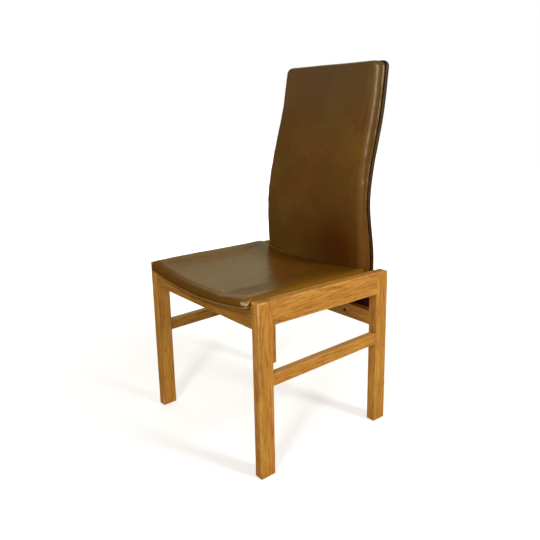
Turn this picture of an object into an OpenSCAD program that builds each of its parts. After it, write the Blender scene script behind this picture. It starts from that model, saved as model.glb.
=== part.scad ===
// High-back dining chair: oak frame, dished leather seat and an S-curved, two-skin leather back.
// Millimetres. X runs to the sitter's left when seated, Y runs to the back, Z is up.
// The origin is on the floor, under the middle of the chair's overall box.

/* [Frame] */
// Width over the legs
frame_w = 485; // [440:1:560]
// Depth over the legs
frame_d = 455; // [420:1:520]
// Height of the front legs
front_h = 450; // [430:1:480]
// Height of the rear legs
rear_h = 436.5; // [426:0.5:450]
// Thickness of a leg, across the chair
leg_w = 25.5; // [22:0.5:32]
// Depth of a leg, front to back
leg_d = 43.5; // [42:0.5:52]
// Rounding of the edges that a hand meets
edge_r = 4; // [2:0.5:5]
// Rounding of a rear leg's upper back corner
leg_crown_r = 9; // [4:0.5:12]
// Rounding round the foot of a leg
foot_r = 3; // [1.5:0.5:4]

/* [Side rails and stretchers] */
// Height of a side rail
side_rail_h = 61; // [54:0.5:66]
// Height of a side stretcher
stretcher_h = 31; // [24:0.5:40]
// Thickness of a side stretcher
stretcher_t = 20; // [16:0.5:22]
// Top of a side stretcher above the floor
stretcher_top = 264.5; // [180:0.5:280]
// Step from the leg's outer face in to the stretcher
stretcher_set = 1.5; // [0.5:0.5:3]

/* [Cross rails] */
// Thickness of the front rail, the seat bearer and the rear rail
cross_rail_t = 22; // [18:0.5:24]
// Step from the front of the legs back to the front rail
front_rail_set = 4; // [2:0.5:8]
// Height of the front rail in the middle of its dish
front_rail_h = 17; // [14:0.5:22]
// Height of the seat bearer in the middle of its dish
bearer_h = 15.5; // [14:0.5:22]
// Underside of the rear rail above the floor
rear_rail_z = 276.5; // [262:0.5:290]
// Height of the rear rail at its ends
rear_rail_h = 39; // [34:0.5:46]
// Rise of the rear rail's arched top edge
rear_rail_arch = 4; // [2:0.5:7]

/* [Joints] */
// Thickness of a tenon
tenon_t = 9; // [7:0.5:11]
// Length of a tenon
tenon_l = 18; // [14:0.5:19]
// Shoulder above and below a side rail's tenon
rail_shoulder = 11; // [8:0.5:15]
// Shoulder above and below a stretcher's tenon
stretcher_shoulder = 5.5; // [4:0.5:8]
// Glue gap on each side of a tenon and round a dowel
glue_gap = 0.15; // [0.1:0.05:0.25]
// Diameter of a dowel
dowel_d = 8; // [6:0.5:9]
// Length of a dowel
dowel_l = 36; // [30:1:44]
// Length of the dowel's end that sits in the leg or side rail
dowel_in_side = 15; // [12:0.5:17]
// Distance between the two dowels of a pair
dowel_pitch = 12.8; // [12:0.2:15]
// Length of a corner block along each rail
block_l = 45; // [38:1:52]
// Height of a corner block at its outer corner
block_h = 24; // [20:0.5:28]

/* [Seat] */
// Radius of the seat's dish across the chair
dish_r = 1110; // [900:10:1500]
// Depth of the middle of the shell's underside below the tops of the front legs
seat_drop = 53; // [50:0.5:58]
// Thickness of the moulded seat shell
seat_shell_t = 15.5; // [12:0.5:18]
// Thickness of the seat pad above the shell, at its rolled edge
seat_pad_t = 25.5; // [21:0.5:30]
// Extra height in the middle of the seat pad
seat_crown = 0.4; // [0:0.1:4]
// Length that the seat pad stands forward of the legs
seat_overhang = 18; // [12:0.5:24]
// Gap between the seat and each side rail
seat_gap = 1.5; // [1:0.5:3]
// Corner radius of the seat pad at the front, in plan
seat_corner_r = 8; // [6:1:20]
// Width of the roll along the seat pad's sides
seat_roll = 4; // [3:0.5:12]
// Width of the roll along the seat pad's front
seat_front_roll = 15; // [10:0.5:20]
// Diameter of the welt along the seat seam
welt_d = 4.4; // [3.4:0.2:4.6]

/* [Back] */
// Height of the back's seam line at its top
back_h = 981; // [900:1:1060]
// Width of the back at the seat
back_w = 388; // [350:1:396]
// Width of the back at its shoulders, above the lumbar bend
back_shoulder_w = 362; // [320:1:390]
// Width of the back at its top
back_top_w = 348; // [300:1:390]
// Distance from the back of the rear legs in to the back's seam line, at the seat
back_set = 8; // [5:0.5:12]
// Step from the back pad's edge in to the back shell's edge
back_shell_in = 2.5; // [0:0.5:5]
// Height by which the back shell stands above the back's seam line
back_shell_up = 3.5; // [0:0.5:6]
// Thickness of the moulded back shell
back_shell_t = 8.5; // [7:0.5:12]
// Thickness of the back pad at its rolled edge
back_pad_t = 46.5; // [40:0.5:52]
// Extra thickness in the middle of the back pad
back_crown = 1.5; // [0.5:0.1:4]
// Share by which the leather squeezes the pad where it bends round the lumbar
lumbar_squeeze = 0.12; // [0:0.01:0.2]
// Height of the lumbar bend
lumbar_h = 600; // [570:1:630]
// Length that the shell comes forward at the lumbar bend
lumbar_out = 10; // [4:0.5:18]
// Slope of the back above the lumbar bend
lean = 15.6; // [10:0.2:20]
// Slope of the back near its top
crest_lean = 9.3; // [5:0.1:14]
// Length of the top stretch where the slope eases
crest_l = 132; // [100:1:170]
// Corner radius at the top of the back
back_corner_r = 20; // [12:1:26]
// Corner radius at the top of the back pad's seam
back_seam_r = 13; // [10:0.5:20]
// Width of the roll along the back pad's sides and top
back_roll = 14; // [10:0.5:18]
// Width of the roll where the back pad stands on the seat shell
back_foot_roll = 5; // [3:0.5:8]

/* [Leather] */
// Thickness of the leather
leather_t = 1.6; // [1.2:0.1:2]
// Width of the leather turned in under a pad's edge
turn_in = 20; // [16:1:26]
// Amount by which a pad's side draws in to its seam
tuck = 5; // [4:0.5:7]
// Gap between soft pieces and what they lie on
soft_gap = 0.15; // [0.1:0.05:0.3]

/* [Fixings] */
// Diameter of a bolt
bolt_d = 5; // [4:0.5:6]
// Diameter of a bolt's head
bolt_head_d = 10; // [9:0.5:11]
// Height of a bolt's head
bolt_head_t = 3; // [2:0.5:4]
// Diameter of a tee nut's flange
nut_flange_d = 17; // [14:0.5:19]
// Length of a tee nut's barrel
nut_barrel_l = 6; // [5:0.5:6.5]
// Distance of the back's bolts from the middle
back_bolt_x = 118; // [90:1:150]
// Height of the back's upper bolts above the underside of the seat bearer
bolt_rise = 9.3; // [8:0.1:10]
// Distance of a seat bolt from the two faces that its block is glued to
block_bolt = 16; // [13:0.5:18]

/* [Hidden] */

$fn = 48;
dish_facets = 360;
oak = "#C08A45";
beech = "#D2B07C";
olive = "#5E4621";
olive_dark = "#463114";
foam_tan = "#D9CFA6";
black_cloth = "#26231F";
steel = "#B9B9B4";

// Frame lines
half_w = frame_w / 2;
inner_hw = half_w - leg_w;
leg_mid_x = half_w - leg_w / 2;
rear_leg_y = frame_d - leg_d;
back_y = frame_d - back_set;
slope = (front_h - rear_h) / frame_d;
tilt = atan(slope);
joint_r = 1;
small_r = 2;
least_r = 4;
reach = 60;
over = 1;
hole_spare = 1;

// Seat lines, in the seat's own tilted frame: the underside's lowest line is its Y axis
seat_z = front_h - seat_drop;
seat_hw = inner_hw - seat_gap;
shell_hw = seat_hw - leather_t;
pad_base = seat_shell_t + soft_gap;
seat_top = pad_base + seat_pad_t + seat_crown;
pad_front = -seat_overhang;
seat_end = back_y - back_pad_t - back_crown - 2 * soft_gap - seat_top * sin(tilt);
bulge_share = 0.42;
seat_rear_r = 8;
shell_front = leather_t;
shell_rear = back_y - soft_gap - leather_t;
shell_corner_r = 8;
dust_t = 1;
dust_in = 12;

// Lines of the back and of the two rails that it is bolted to
back_rail_y = back_y - soft_gap - cross_rail_t;
rear_rail_mid = rear_rail_z + rear_rail_h / 2;
front_rail_z = seat_z - slope * front_rail_set - front_rail_h;
bearer_z = seat_z - slope * back_rail_y - bearer_h;
back_foot = rear_rail_z + small_r;
pad_foot = seat_z - slope * back_y + pad_base + soft_gap;
bend_rise = 100;
bend_h = lumbar_h + bend_rise;
bend_back = 7.5;
crest_h = back_h - crest_l;
crest_y = back_y + bend_back + (crest_h - bend_h) * tan(lean);
back_line = [
    [front_h, back_y],
    [lumbar_h, back_y - lumbar_out],
    [bend_h, back_y + bend_back],
    [crest_h, crest_y],
    [back_h, crest_y + crest_l * tan(crest_lean)]
];
back_top = back_h + back_shell_up;
slab_top = back_top + 6;
width_line = [[front_h, back_w / 2], [bend_h, back_shoulder_w / 2], [back_h, back_top_w / 2]];
lumbar_reach = 90;
back_steps = 40;
end_drift = 0.1;
back_foot_r = 6;
ply_front = 2 * soft_gap + leather_t;
ply_rear = ply_front + back_shell_t;
sleeve_rear = ply_rear + soft_gap + leather_t;
back_seam = 3;
seat_rear_roll = 5;

// Fixing lines
head_sink = 4;
nut_flange_t = 1.4;
nut_wall = 1.2;
nut_barrel_d = bolt_d + 2 * nut_wall;
thread_gap = 0.1;
bolt_play = 0.5;
socket_d = 4;
back_nut_y = back_y + ply_rear - soft_gap;
corners = [[front_rail_set + cross_rail_t, 1], [back_rail_y, -1]];
bolt_heights = [bearer_z + bolt_rise, rear_rail_mid];
dowel_web = 1.5;

// The chair is drawn from the front of its legs and then moved to its origin
front_most = pad_front * cos(tilt) + (pad_base + seat_pad_t * bulge_share) * sin(tilt);
rear_most = back_point(back_top + sleeve_rear * sin(crest_lean), -sleeve_rear)[1];
mid_y = (front_most + rear_most) / 2;

// Height of the rail tops over a place y behind the front of the legs
function top_z(y) = front_h - slope * y;

// Height of the dish over its lowest line, a given height up from the underside
function dish_z(x, up) = dish_r - sqrt(pow(dish_r - up, 2) - x * x);

function unit(v) = v / norm(v);

// Points of an arc of radius r that rounds the corner b between a and c
function corner_arc(a, b, c, r, n) =
    let (
        u = unit(a - b),
        v = unit(c - b),
        half = acos(u * v) / 2,
        centre = b + unit(u + v) * r / sin(half),
        p = b + u * r / tan(half) - centre,
        q = b + v * r / tan(half) - centre,
        turn = 180 - 2 * half
    )
    [for (i = [0:n]) centre + (p * sin(turn * (1 - i / n)) + q * sin(turn * i / n)) / sin(turn)];

// A polygon's points with each corner rounded by its own radius
function rounded(points, radii, n = 5) =
    let (count = len(points))
    [for (i = [0:count - 1])
        each corner_arc(points[(i + count - 1) % count], points[i], points[(i + 1) % count], radii[i], n)];

function box_points(x0, y0, x1, y1) = [[x0, y0], [x1, y0], [x1, y1], [x0, y1]];

// The slope of a line at its control point i: level at the first, from the neighbours at the rest
function line_slope(line, i) =
    let (a = line[i - 1], b = line[min(i + 1, len(line) - 1)])
    i == 0 ? 0 : (b[1] - a[1]) / (b[0] - a[0]);

// The stretch of a line that holds the height z
function stretch_at(line, z, i = 0) =
    i >= len(line) - 2 || z <= line[i + 1][0] ? i : stretch_at(line, z, i + 1);

// A smooth curve through a line's control points, straight below the first
function smooth_at(line, z) =
    let (
        i = stretch_at(line, z),
        a = line[i],
        b = line[i + 1],
        span = b[0] - a[0],
        t = (z - a[0]) / span,
        m0 = line_slope(line, i) * span,
        m1 = line_slope(line, i + 1) * span
    )
    z < line[0][0] ? line[0][1]
    : a[1] * (2 * pow(t, 3) - 3 * t * t + 1) + m0 * (pow(t, 3) - 2 * t * t + t)
        + b[1] * (3 * t * t - 2 * pow(t, 3)) + m1 * (pow(t, 3) - t * t);

// Distance of the back's seam line from the front of the legs at the height z
function line_y(z) = smooth_at(back_line, z);

function line_lean(z) = line_y(z + 0.5) - line_y(z - 0.5);

// A point over the back line: x is across, z is up along the line, out is towards the sitter
function back_point(z, out, x = 0) =
    let (
        lean_here = line_lean(z),
        long = norm([1, lean_here])
    )
    [x, line_y(z) - out / long, z + out * lean_here / long];

function back_hw(z) = smooth_at(width_line, z);

// Right half of a pad's outline, from the middle of its near end to the middle of its far end.
// in holds how far it is drawn in at the sides, the near end and the far end.
function half_outline(hw, y0, y1, r0, r1, in, counts) =
    let (
        near_r = max(r0 - in[0], least_r),
        far_r = max(r1 - in[0], least_r),
        near_y = y0 + in[1] + near_r,
        far_y = y1 - in[2] - far_r,
        near_x = hw(near_y) - in[0] - near_r,
        far_x = hw(far_y) - in[0] - far_r,
        ends = counts[0],
        bends = counts[1],
        sides = counts[2]
    )
    concat(
        [for (i = [0:ends - 1]) [near_x * (i + 0.5) / ends, near_y - near_r]],
        [for (i = [0:bends]) [near_x + near_r * sin(90 * i / bends), near_y - near_r * cos(90 * i / bends)]],
        [for (i = [1:sides - 1]) let (y = near_y + (far_y - near_y) * i / sides) [hw(y) - in[0], y]],
        [for (i = [0:bends]) [far_x + far_r * cos(90 * i / bends), far_y + far_r * sin(90 * i / bends)]],
        [for (i = [ends - 1:-1:0]) [far_x * (i + 0.5) / ends, far_y + far_r]]
    );

// The whole outline: the right half and its mirror image
function outline(half) = concat(half, [for (i = [len(half) - 1:-1:0]) [-half[i][0], half[i][1]]]);

// A pad's section: the notch at its seam, the drawn-in side, the roll and the crowned face.
// Each entry holds the height, the draw-in, the share of the roll's width and the way in past the roll.
function pad_section(thick, seam, crown, insets, steps, in = 0) =
    let (bulge = thick * bulge_share, low = seam + in, high = thick - in, deep = insets[len(insets) - 1])
    concat(
        [[in, tuck + in, 0, 0]],
        [for (i = [steps[0]:-1:1])
            let (a = 90 * i / steps[0])
            [low + (bulge - low) * (1 - sin(a)), tuck * (1 - cos(a)) + in, 0, 0]],
        [for (i = [0:steps[1]])
            let (a = 90 * i / steps[1])
            [bulge + (high - bulge) * sin(a), in, 1 - cos(a), 0]],
        [for (e = insets) [high + crown * (1 - pow(1 - e / deep, 2)), in, 1, e]]
    );

// How far an outline is drawn in at its sides, near end and far end for a section's entry
function insets_of(s, side_roll, near_roll, far_roll) = [
    s[1] + s[2] * side_roll + s[3],
    s[1] + s[2] * near_roll + s[3] * end_drift,
    s[1] + s[2] * far_roll + s[3] * end_drift
];

function backwards(list) = [for (i = [len(list) - 1:-1:0]) list[i]];

// One closed skin through rings of equal count, with a strip of triangles across each end ring
module ring_solid(rings) {
    n = len(rings[0]);
    half = n / 2;
    last = (len(rings) - 1) * n;
    walls = [
        for (k = [0:len(rings) - 2])
            for (i = [0:n - 1])
                let (a = k * n + i, b = k * n + (i + 1) % n)
                each [[a, b, a + n], [b, b + n, a + n]]
    ];
    first_cap = [
        for (i = [0:half - 2])
            each [[i, n - 1 - i, i + 1], [i + 1, n - 1 - i, n - 2 - i]]
    ];
    last_cap = [
        for (i = [0:half - 2])
            each [[last + i, last + i + 1, last + n - 1 - i], [last + i + 1, last + n - 2 - i, last + n - 1 - i]]
    ];
    polyhedron([for (r = rings) each r], concat(walls, first_cap, last_cap), convexity = 6);
}

// Prisms along each axis
module prism_x(points, x0, x1) {
    translate([x0, 0, 0]) rotate([90, 0, 90]) linear_extrude(x1 - x0) polygon(points);
}

module prism_y(points, y0, y1) {
    translate([0, y1, 0]) rotate([90, 0, 0]) linear_extrude(y1 - y0) polygon(points);
}

module rod_x(x0, x1, y, z, d) {
    translate([x0, y, z]) rotate([0, 90, 0]) cylinder(d = d, h = x1 - x0);
}

module block(x0, y0, z0, x1, y1, z1) {
    translate([x0, y0, z0]) cube([x1 - x0, y1 - y0, z1 - z0]);
}

// Right-hand pieces are drawn; left-hand ones are their mirror images
module hand(side) {
    translate([0, -mid_y, 0]) mirror([side == "left" ? 1 : 0, 0, 0]) children();
}

module both_hands() {
    children();
    mirror([1, 0, 0]) children();
}

module placed() {
    translate([0, -mid_y, 0]) children();
}

module on_seat() {
    translate([0, 0, seat_z]) rotate([-tilt, 0, 0]) children();
}

// Everything above the dished surface that lies a given height over the shell's underside
module over_dish(up = 0) {
    translate([0, -reach, dish_r]) rotate([-90, 0, 0])
        cylinder(r = dish_r - up, h = frame_d + 2 * reach, $fn = dish_facets);
}

// A bar whose section is given from the leg tops down, running along their slope
module along_slope(points, y0, y1) {
    intersection() {
        translate([0, 0, front_h]) rotate([-tilt, 0, 0]) prism_y(points, -reach, frame_d + reach);
        block(0, y0, -reach, frame_w, y1, front_h + reach);
    }
}

// A tenon on the face y of a leg, pointing along dir, made larger all round by gap
module tenon(y, dir, z0, z1, gap) {
    long = tenon_l + gap;
    block(
        leg_mid_x - tenon_t / 2 - gap, dir > 0 ? y - over : y - long, z0 - gap,
        leg_mid_x + tenon_t / 2 + gap, dir > 0 ? y + long : y + over, z1 + gap
    );
}

module rail_tenon(y, dir, gap) {
    tenon(y, dir, top_z(y) - side_rail_h + rail_shoulder, top_z(y) - rail_shoulder, gap);
}

module stretcher_tenon(y, dir, gap) {
    tenon(
        y, dir, stretcher_top - stretcher_h + stretcher_shoulder, stretcher_top - stretcher_shoulder, gap
    );
}

// Two dowels at an end of a cross rail, with end_gap for the spare depth of a hole
module dowel_pair(y, z_low, gap, end_gap) {
    for (z = [z_low, z_low + dowel_pitch]) {
        rod_x(
            inner_hw + dowel_in_side - dowel_l - end_gap, inner_hw + dowel_in_side + end_gap,
            y, z, dowel_d + 2 * gap
        );
    }
}

module front_dowels(gap, end_gap) {
    dowel_pair(front_rail_set + cross_rail_t / 2, front_rail_z + dowel_d, gap, end_gap);
}

// The bearer's dowels run close behind the side rails' tenons
module bearer_dowels(gap, end_gap) {
    y = rear_leg_y + tenon_l + glue_gap + dowel_web + dowel_d / 2;
    dowel_pair(y, bearer_z + dowel_d, gap, end_gap);
}

module rear_dowels(gap, end_gap) {
    dowel_pair(back_rail_y + cross_rail_t / 2, rear_rail_mid - dowel_pitch / 2, gap, end_gap);
}

// A leg from y0 back, its corners rounded in plan, in side view and in front view.
// near and far are the rounding of its front and back edges, crown that of its top's back corner.
module leg_blank(y0, near, far, crown) {
    y1 = y0 + leg_d;
    intersection() {
        linear_extrude(front_h + reach)
            polygon(rounded(box_points(inner_hw, y0, half_w, y1), [near, near, far, far]));
        prism_x(
            rounded([[y0, 0], [y1, 0], [y1, top_z(y1)], [y0, top_z(y0)]], [foot_r, foot_r, crown, near]),
            inner_hw - over, half_w + over
        );
        along_slope(
            rounded(
                box_points(inner_hw, -front_h - reach, half_w, 0), [small_r, small_r, edge_r, edge_r]
            ),
            y0 - over, y1 + over
        );
        prism_y(
            rounded(
                box_points(inner_hw, 0, half_w, front_h + reach), [foot_r, foot_r, small_r, small_r]
            ),
            y0 - over, y1 + over
        );
    }
}

module front_leg(side) {
    color(oak) hand(side) difference() {
        leg_blank(0, edge_r, joint_r, joint_r);
        rail_tenon(leg_d, -1, glue_gap);
        stretcher_tenon(leg_d, -1, glue_gap);
        front_dowels(glue_gap, hole_spare);
    }
}

module rear_leg(side) {
    color(oak) hand(side) difference() {
        leg_blank(rear_leg_y, joint_r, edge_r, leg_crown_r);
        rail_tenon(rear_leg_y, 1, glue_gap);
        stretcher_tenon(rear_leg_y, 1, glue_gap);
        bearer_dowels(glue_gap, hole_spare);
        rear_dowels(glue_gap, hole_spare);
    }
}

module side_rail(side) {
    color(oak) hand(side) {
        along_slope(
            rounded(
                box_points(inner_hw, -side_rail_h, half_w, 0), [small_r, small_r, edge_r, small_r]
            ),
            leg_d, rear_leg_y
        );
        rail_tenon(leg_d, -1, 0);
        rail_tenon(rear_leg_y, 1, 0);
    }
}

module side_stretcher(side) {
    outer = half_w - stretcher_set;
    color(oak) hand(side) {
        prism_y(
            rounded(
                box_points(outer - stretcher_t, stretcher_top - stretcher_h, outer, stretcher_top),
                [small_r, small_r, small_r, small_r]
            ),
            leg_d, rear_leg_y
        );
        stretcher_tenon(leg_d, -1, 0);
        stretcher_tenon(rear_leg_y, 1, 0);
    }
}

// A cross rail under the seat: straight below, dished above to take the shell
module dished_rail(y0, bottom) {
    difference() {
        prism_x(
            rounded(
                box_points(y0, bottom, y0 + cross_rail_t, front_h),
                [small_r, small_r, small_r, small_r]
            ),
            -inner_hw, inner_hw
        );
        on_seat() over_dish();
    }
}

module front_rail() {
    color(oak) placed() difference() {
        dished_rail(front_rail_set, front_rail_z);
        both_hands() front_dowels(glue_gap, hole_spare);
    }
}

// Places that the back's bolts run through, with their own axis along Z
module at_back_bolts() {
    for (x = [-back_bolt_x, back_bolt_x]) {
        for (z = bolt_heights) {
            translate([x, 0, z]) rotate([-90, 0, 0]) children();
        }
    }
}

// Room for a bolt and its sunk head in a rail
module back_bolt_holes() {
    at_back_bolts() {
        translate([0, 0, back_rail_y - over]) cylinder(d = bolt_d + bolt_play, h = cross_rail_t + 2 * over);
        translate([0, 0, back_rail_y - over]) cylinder(d = bolt_head_d + bolt_play, h = head_sink + over);
    }
}

module seat_bearer() {
    color(beech) placed() difference() {
        dished_rail(back_rail_y, bearer_z);
        both_hands() bearer_dowels(glue_gap, hole_spare);
        back_bolt_holes();
    }
}

module rear_rail() {
    arch_r = (pow(inner_hw, 2) + pow(rear_rail_arch, 2)) / (2 * rear_rail_arch);
    top = rear_rail_z + rear_rail_h + rear_rail_arch;
    color(oak) placed() difference() {
        intersection() {
            prism_x(
                rounded(
                    box_points(back_rail_y, rear_rail_z, back_rail_y + cross_rail_t, top + reach),
                    [small_r, joint_r, small_r, small_r]
                ),
                -inner_hw, inner_hw
            );
            translate([0, back_rail_y - over, top - arch_r]) rotate([-90, 0, 0])
                cylinder(r = arch_r, h = cross_rail_t + 2 * over, $fn = dish_facets);
        }
        both_hands() rear_dowels(glue_gap, hole_spare);
        back_bolt_holes();
    }
}

module dowels() {
    color(beech) placed() both_hands() {
        front_dowels(0, 0);
        bearer_dowels(0, 0);
        rear_dowels(0, 0);
    }
}

// Height of the shell's underside above the floor
function under_seat(x, y) = seat_z - slope * y + dish_z(x, 0);

function block_bottom(corner) = under_seat(inner_hw, corner[0]) - block_h;
function block_bolt_y(corner) = corner[0] + corner[1] * block_bolt;

// Top of a seat bolt's tee nut, just under the lowest place of the shell's top that it meets
function seat_nut_top(corner) =
    let (x = inner_hw - block_bolt - nut_flange_d / 2, y = block_bolt_y(corner) + nut_flange_d / 2)
    seat_z - slope * y + dish_z(x, seat_shell_t) - soft_gap;

// A three-cornered block glued into a corner of the frame, dished to carry the shell
module corner_block(side, corner) {
    y = corner[0];
    bottom = block_bottom(corner);
    color(beech) hand(side) difference() {
        translate([0, 0, bottom]) linear_extrude(block_h + reach)
            polygon([[inner_hw, y], [inner_hw, y + corner[1] * block_l], [inner_hw - block_l, y]]);
        on_seat() over_dish();
        translate([inner_hw - block_bolt, block_bolt_y(corner), bottom - over])
            cylinder(d = bolt_d + bolt_play, h = block_h + reach);
    }
}

// A socket-head bolt: its head seats at the height low and its tip is at the height high
module bolt(low, high) {
    difference() {
        union() {
            translate([0, 0, low - bolt_head_t]) cylinder(d = bolt_head_d, h = bolt_head_t);
            translate([0, 0, low - over]) cylinder(d = bolt_d, h = high - low + over);
        }
        translate([0, 0, low - bolt_head_t - over]) cylinder(d = socket_d, h = bolt_head_t / 2 + over, $fn = 6);
    }
}

// A tee nut whose flange ends at the height top
module tee_nut(top) {
    difference() {
        union() {
            translate([0, 0, top - nut_flange_t]) cylinder(d = nut_flange_d, h = nut_flange_t);
            translate([0, 0, top - nut_barrel_l]) cylinder(d = nut_barrel_d, h = nut_barrel_l);
        }
        translate([0, 0, top - nut_barrel_l - over]) cylinder(d = bolt_d + 2 * thread_gap, h = nut_barrel_l + 2 * over);
    }
}

// Room for a tee nut in a shell
module nut_pocket(top) {
    translate([0, 0, top - nut_flange_t - glue_gap]) cylinder(d = nut_flange_d + 2 * glue_gap, h = reach);
    translate([0, 0, top - reach]) cylinder(d = nut_barrel_d + 2 * glue_gap, h = reach + over);
}

module at_block(corner) {
    both_hands() translate([inner_hw - block_bolt, block_bolt_y(corner), 0]) children();
}

module seat_bolts() {
    color(steel) placed() for (c = corners) {
        at_block(c) bolt(block_bottom(c), seat_nut_top(c) - over);
    }
}

module seat_tee_nuts() {
    color(steel) placed() for (c = corners) {
        at_block(c) tee_nut(seat_nut_top(c));
    }
}

// A slice of the dish between two heights, over a plan shape
module dished_sheet(low, high, plan) {
    intersection() {
        difference() {
            over_dish(low);
            over_dish(high);
        }
        translate([0, 0, -reach]) linear_extrude(front_h) polygon(plan);
    }
}

function seat_plan(e) =
    rounded(
        box_points(-shell_hw + e, shell_front + e, shell_hw - e, shell_rear - e),
        [for (i = [0:3]) max(shell_corner_r - e, small_r)]
    );

module seat_shell() {
    color(beech) placed() difference() {
        on_seat() dished_sheet(0, seat_shell_t, seat_plan(0));
        for (c = corners) {
            at_block(c) nut_pocket(seat_nut_top(c));
        }
    }
}

// The leather strip that wraps the shell's edge, seen under the welt
module seat_edge_band() {
    color(olive) placed() on_seat() difference() {
        dished_sheet(0, seat_shell_t, seat_plan(-leather_t));
        translate([0, 0, -reach]) linear_extrude(front_h) polygon(seat_plan(-soft_gap));
    }
}

// Black cloth under the shell, between the two dished rails
module seat_dust_cover() {
    y0 = front_rail_set + cross_rail_t + dust_in;
    y1 = back_rail_y - dust_in;
    hw = shell_hw - block_l - small_r;
    color(black_cloth) placed() on_seat()
        dished_sheet(-dust_t - soft_gap, -soft_gap, box_points(-hw, y0, hw, y1));
}

seat_insets = [45, 85, 125, 160, 185];
seat_counts = [6, 4, 5];
back_insets = [36, 86, 136];
back_counts = [3, 4, 16];
shell_counts = [1, 6, 10];
outer_steps = [2, 3];
inner_steps = [1, 2];
foam_in = leather_t + soft_gap;
foam_base = turn_in + soft_gap;

function seat_outline(s) =
    outline(half_outline(
        function (y) seat_hw, pad_front, seat_end, seat_corner_r, seat_rear_r,
        insets_of(s, seat_roll, seat_front_roll, seat_rear_roll), seat_counts
    ));

function seat_ring(s) = [for (q = seat_outline(s)) [q[0], q[1], dish_z(q[0], pad_base + s[0])]];

// The leather over a pad: its outer face, the edge turned in under the pad and its inner face
function cover_section(outer, inner) =
    concat(backwards(outer), [[0, turn_in, 0, 0], [leather_t, turn_in, 0, 0]], inner);

module seat_cover() {
    outer = pad_section(seat_pad_t, welt_d, seat_crown, seat_insets, outer_steps);
    inner = pad_section(seat_pad_t, welt_d, seat_crown, seat_insets, inner_steps, leather_t);
    color(olive) placed() on_seat() ring_solid([for (s = cover_section(outer, inner)) seat_ring(s)]);
}

module seat_foam() {
    top = pad_section(seat_pad_t, welt_d, seat_crown, seat_insets, inner_steps, foam_in);
    bottom = [for (e = backwards(seat_insets)) [0, foam_base, 0, e]];
    section = concat(bottom, [[0, foam_base, 0, 0], [foam_in, foam_base, 0, 0]], top);
    color(foam_tan) placed() on_seat() ring_solid(backwards([for (s = section) seat_ring(s)]));
}

// The middle of the welt: a round cord in leather, in the notch under the pad's front and sides
function welt_path() =
    let (
        all = seat_outline([0, tuck - welt_d / 2 - soft_gap, 0, 0]),
        half = len(all) / 2,
        right = [for (i = [0:half - 1]) if (all[i][1] < rear_leg_y) all[i]]
    )
    [for (q = concat([for (q = backwards(right)) [-q[0], q[1]]], right))
        [q[0], q[1], dish_z(q[0], pad_base + welt_d / 2)]];

// A tube of 8 sides swept along a path that stays nearly level
module swept_tube(path, d) {
    sides = 8;
    last = len(path) - 1;
    points = [
        for (i = [0:last])
            let (
                ahead = unit(path[min(i + 1, last)] - path[max(i - 1, 0)]),
                across = unit(cross(ahead, [0, 0, 1])),
                upward = cross(across, ahead)
            )
            for (k = [0:sides - 1])
                path[i] + (across * cos(360 * k / sides) + upward * sin(360 * k / sides)) * d / 2
    ];
    walls = [
        for (i = [0:last - 1])
            for (k = [0:sides - 1])
                let (a = i * sides + k, b = i * sides + (k + 1) % sides)
                each [[a, b, a + sides], [b, b + sides, a + sides]]
    ];
    start = [for (k = [1:sides - 2]) [0, k + 1, k]];
    end = [for (k = [1:sides - 2]) [last * sides, last * sides + k, last * sides + k + 1]];
    polyhedron(points, concat(walls, start, end), convexity = 6);
}

module seat_welt() {
    color(olive_dark) placed() on_seat() swept_tube(welt_path(), welt_d);
}

// A slab that follows the back line between two distances from it
module back_slab(out_low, out_high, z_low, z_high) {
    zs = [for (i = [0:back_steps]) z_low + (z_high - z_low) * i / back_steps];
    front = [for (z = zs) let (p = back_point(z, out_high)) [p[1], p[2]]];
    rear = [for (z = backwards(zs)) let (p = back_point(z, out_low)) [p[1], p[2]]];
    prism_x(concat(front, rear), -back_w, back_w);
}

// The back shell's outline seen from the front, drawn in by e
module back_outline(e) {
    side_in = back_shell_in + e;
    half = half_outline(
        function (z) back_hw(z), back_foot, back_top, back_foot_r, back_corner_r, [side_in, e, e], shell_counts
    );
    prism_y(outline(half), 0, frame_d + front_h);
}

module back_shell() {
    color(beech) placed() difference() {
        intersection() {
            back_slab(-ply_rear, -ply_front, back_foot, slab_top);
            back_outline(leather_t + soft_gap);
        }
        at_back_bolts() nut_pocket(back_nut_y);
    }
}

// The leather sleeve drawn over the back shell
module back_shell_cover() {
    color(olive_dark) placed() difference() {
        intersection() {
            back_slab(-sleeve_rear, -soft_gap, back_foot, slab_top);
            back_outline(0);
        }
        intersection() {
            back_slab(-ply_rear - soft_gap, -soft_gap - leather_t, back_foot, slab_top);
            back_outline(leather_t);
        }
        at_back_bolts() translate([0, 0, back_rail_y])
            cylinder(d = bolt_d + bolt_play, h = cross_rail_t + ply_front + over);
    }
}

// Height by which the back pad's foot follows the dished seat shell that it stands on
function foot_rise(x, out) = dish_z(x, pad_base) - pad_base + slope * out;

// Share of the pad's thickness that is left at the height z
function squeezed(z) = 1 - lumbar_squeeze * exp(-pow((z - lumbar_h) / lumbar_reach, 2));

// Corner radius of the back pad a given height over its seam
function pad_corner_r(up) =
    back_seam_r + (back_corner_r - back_seam_r) * min(up / (back_pad_t * bulge_share), 1);

function back_ring(s) =
    let (
        half = half_outline(
            function (z) back_hw(z), pad_foot, back_h, back_foot_r, pad_corner_r(s[0]),
            insets_of(s, back_roll, back_foot_roll, back_roll), back_counts
        )
    )
    [for (q = outline(half))
        let (
            out = s[0] * squeezed(q[1]),
            z = q[1] + foot_rise(q[0], out) * (back_h - q[1]) / (back_h - pad_foot)
        )
        back_point(z, out, q[0])];

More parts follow.
